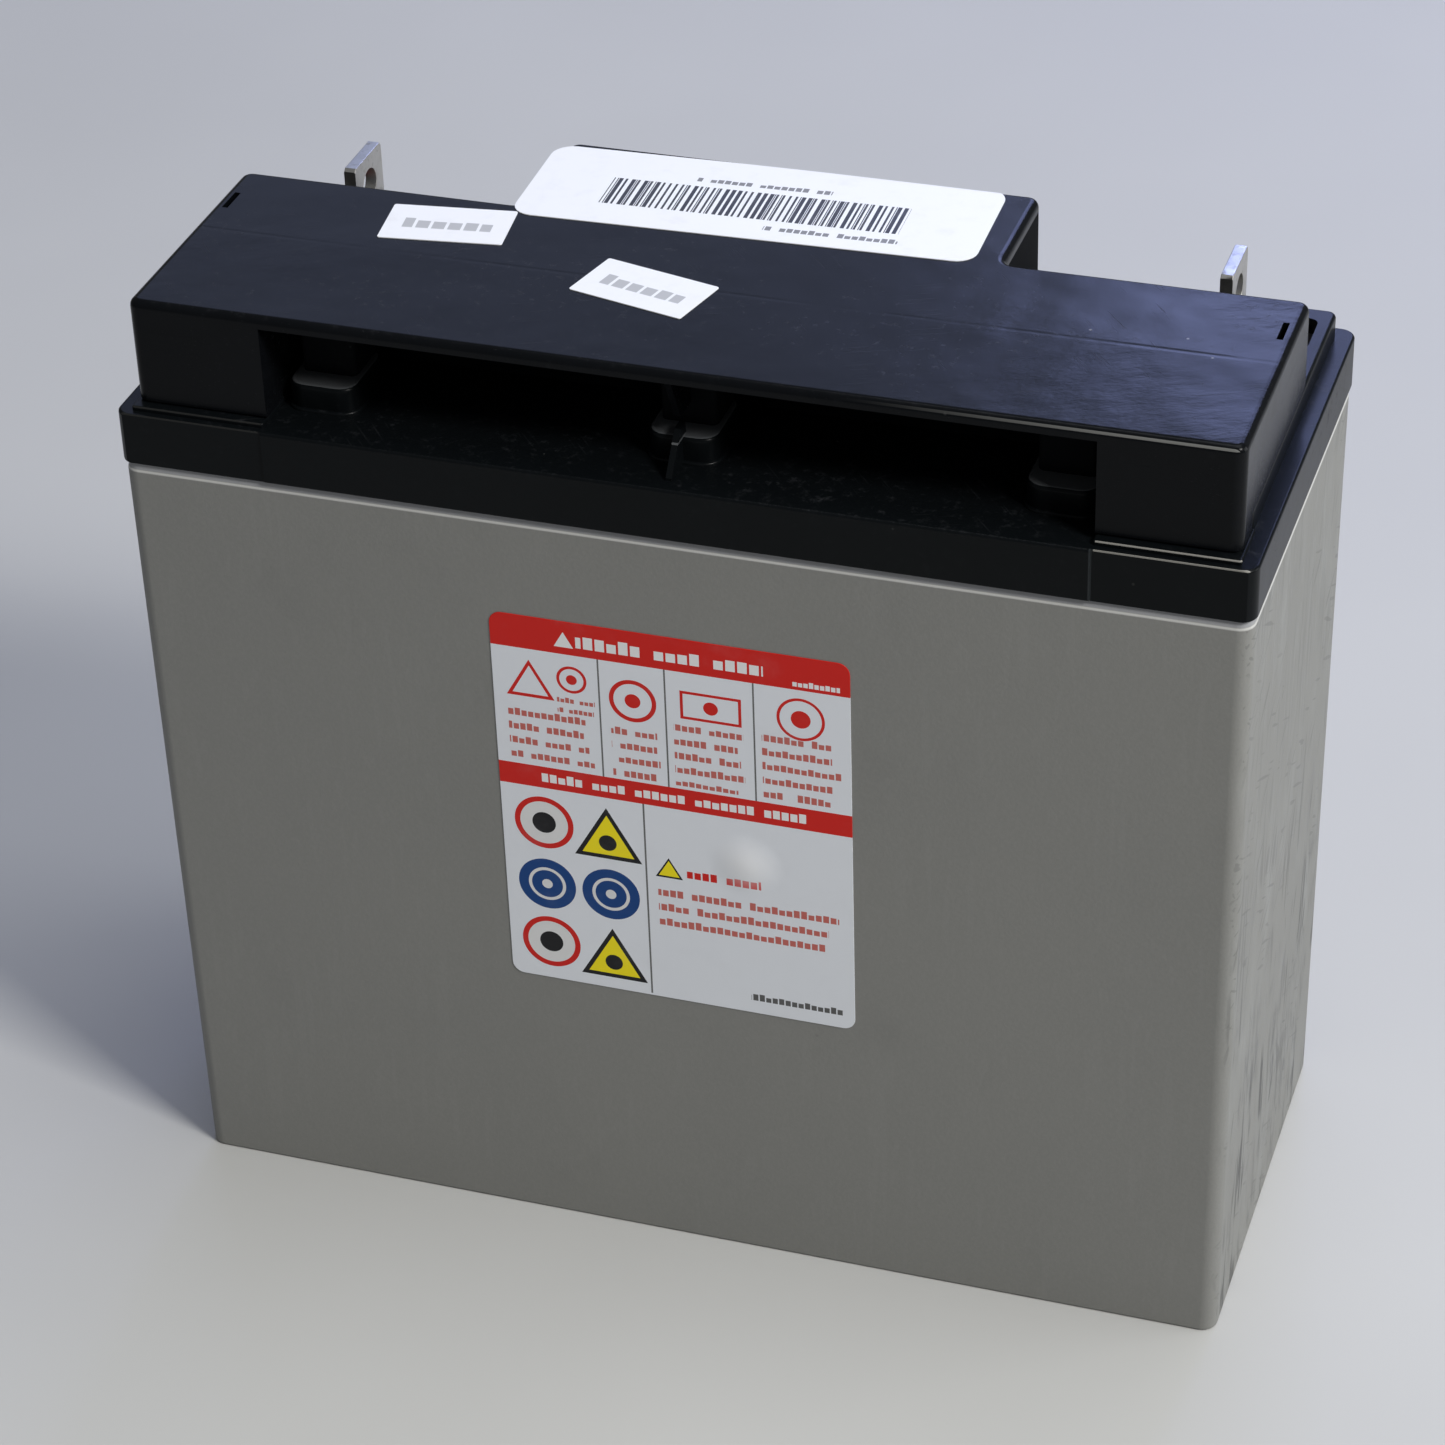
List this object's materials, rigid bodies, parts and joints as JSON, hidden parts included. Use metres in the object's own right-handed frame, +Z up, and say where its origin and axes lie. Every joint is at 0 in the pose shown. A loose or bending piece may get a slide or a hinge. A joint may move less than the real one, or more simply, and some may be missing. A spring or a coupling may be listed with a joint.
{
  "type": "sealed lead acid battery",
  "caption": "Sealed deep cycle battery: grey case, black lid, T-shaped top cover with a hand grip slot, upright bolt-hole terminal blades, plate packs and sprung vent caps inside.",
  "frame": {"origin": "middle of the footprint, on the surface that the battery stands on", "axes": "+X to the right along the long front face, +Y from the front face to the terminals at the back, +Z up"},
  "size_m": [0.181, 0.076, 0.1652],
  "materials": {
    "case_plastic": "fine matt moulded plastic, warm grey",
    "lid_plastic": "semi-gloss black moulded plastic",
    "cover_plastic": "glossy black moulded plastic with fine scratches",
    "sealant": "cured epoxy",
    "tinned_metal": "tin plated copper alloy",
    "lead": "cast lead, dull",
    "seal_rubber": "matt black rubber",
    "resin_black": "cast black resin",
    "resin_red": "cast red resin",
    "positive_paste": "dark brown active paste on a lead grid",
    "negative_paste": "grey active paste on a lead grid",
    "glass_mat": "white absorbent glass mat",
    "label_front": "satin film label with coloured bands and plain signs",
    "label_white": "satin white label"
  },
  "bodies": {
    "housing": {"case": "case_plastic", "lid": "lid_plastic", "lid_sealant": "sealant", "top_cover": "cover_plastic", "terminal_negative": "tinned_metal", "terminal_positive": "tinned_metal", "terminal_post_negative": "lead", "terminal_post_positive": "lead", "post_seal_negative": "seal_rubber", "post_seal_positive": "seal_rubber", "terminal_resin_negative": "resin_black", "terminal_resin_positive": "resin_red", "positive_plates_1": "positive_paste", "positive_plates_2": "positive_paste", "positive_plates_3": "positive_paste", "positive_plates_4": "positive_paste", "positive_plates_5": "positive_paste", "positive_plates_6": "positive_paste", "negative_plates_1": "negative_paste", "negative_plates_2": "negative_paste", "negative_plates_3": "negative_paste", "negative_plates_4": "negative_paste", "negative_plates_5": "negative_paste", "negative_plates_6": "negative_paste", "separators_1": "glass_mat", "separators_2": "glass_mat", "separators_3": "glass_mat", "separators_4": "glass_mat", "separators_5": "glass_mat", "separators_6": "glass_mat", "positive_strap_1": "lead", "positive_strap_2": "lead", "positive_strap_3": "lead", "positive_strap_4": "lead", "positive_strap_5": "lead", "positive_strap_6": "lead", "negative_strap_1": "lead", "negative_strap_2": "lead", "negative_strap_3": "lead", "negative_strap_4": "lead", "negative_strap_5": "lead", "negative_strap_6": "lead", "front_label": "label_front", "barcode_label": "label_white", "date_label_left": "label_white", "date_label_middle": "label_white"},
    "vent_valve_1": {"vent_cap_1": "seal_rubber"},
    "vent_valve_2": {"vent_cap_2": "seal_rubber"},
    "vent_valve_3": {"vent_cap_3": "seal_rubber"},
    "vent_valve_4": {"vent_cap_4": "seal_rubber"},
    "vent_valve_5": {"vent_cap_5": "seal_rubber"},
    "vent_valve_6": {"vent_cap_6": "seal_rubber"}
  },
  "joints": [
    {"name": "vent_cap_1_lift", "type": "slide", "parent": "housing", "child": "vent_valve_1", "axis": [0, 0, 1], "range_m": [0, 0.0004], "stiffness_N_per_m": 400},
    {"name": "vent_cap_2_lift", "type": "slide", "parent": "housing", "child": "vent_valve_2", "axis": [0, 0, 1], "range_m": [0, 0.0004], "stiffness_N_per_m": 400},
    {"name": "vent_cap_3_lift", "type": "slide", "parent": "housing", "child": "vent_valve_3", "axis": [0, 0, 1], "range_m": [0, 0.0004], "stiffness_N_per_m": 400},
    {"name": "vent_cap_4_lift", "type": "slide", "parent": "housing", "child": "vent_valve_4", "axis": [0, 0, 1], "range_m": [0, 0.0004], "stiffness_N_per_m": 400},
    {"name": "vent_cap_5_lift", "type": "slide", "parent": "housing", "child": "vent_valve_5", "axis": [0, 0, 1], "range_m": [0, 0.0004], "stiffness_N_per_m": 400},
    {"name": "vent_cap_6_lift", "type": "slide", "parent": "housing", "child": "vent_valve_6", "axis": [0, 0, 1], "range_m": [0, 0.0004], "stiffness_N_per_m": 400}
  ]
}
